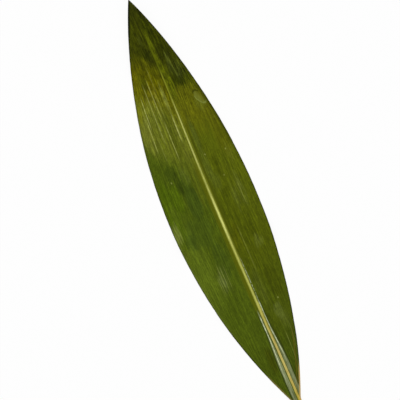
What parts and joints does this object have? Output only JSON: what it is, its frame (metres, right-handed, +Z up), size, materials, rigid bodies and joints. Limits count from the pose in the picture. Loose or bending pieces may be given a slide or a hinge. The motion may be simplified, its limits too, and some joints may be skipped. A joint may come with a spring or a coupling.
{
  "type": "dried bamboo leaf",
  "caption": "Long lance-shaped dried bamboo leaf with a pale midrib and a short cut stalk, lying flat with its tip slightly raised.",
  "frame": {"origin": "on the surface that the leaf lies on, under the middle of its bounding box", "axes": "+Z up, out of the leaf's upper face; +Y along the midrib to the tip; the wider half of the blade is at -X"},
  "size_m": [0.0748, 0.369, 0.0092],
  "materials": {
    "dried_leaf": "dull olive green, finely ribbed along the veins, with a pale yellow midrib"
  },
  "bodies": {
    "root": {"leaf": "dried_leaf"}
  },
  "joints": []
}
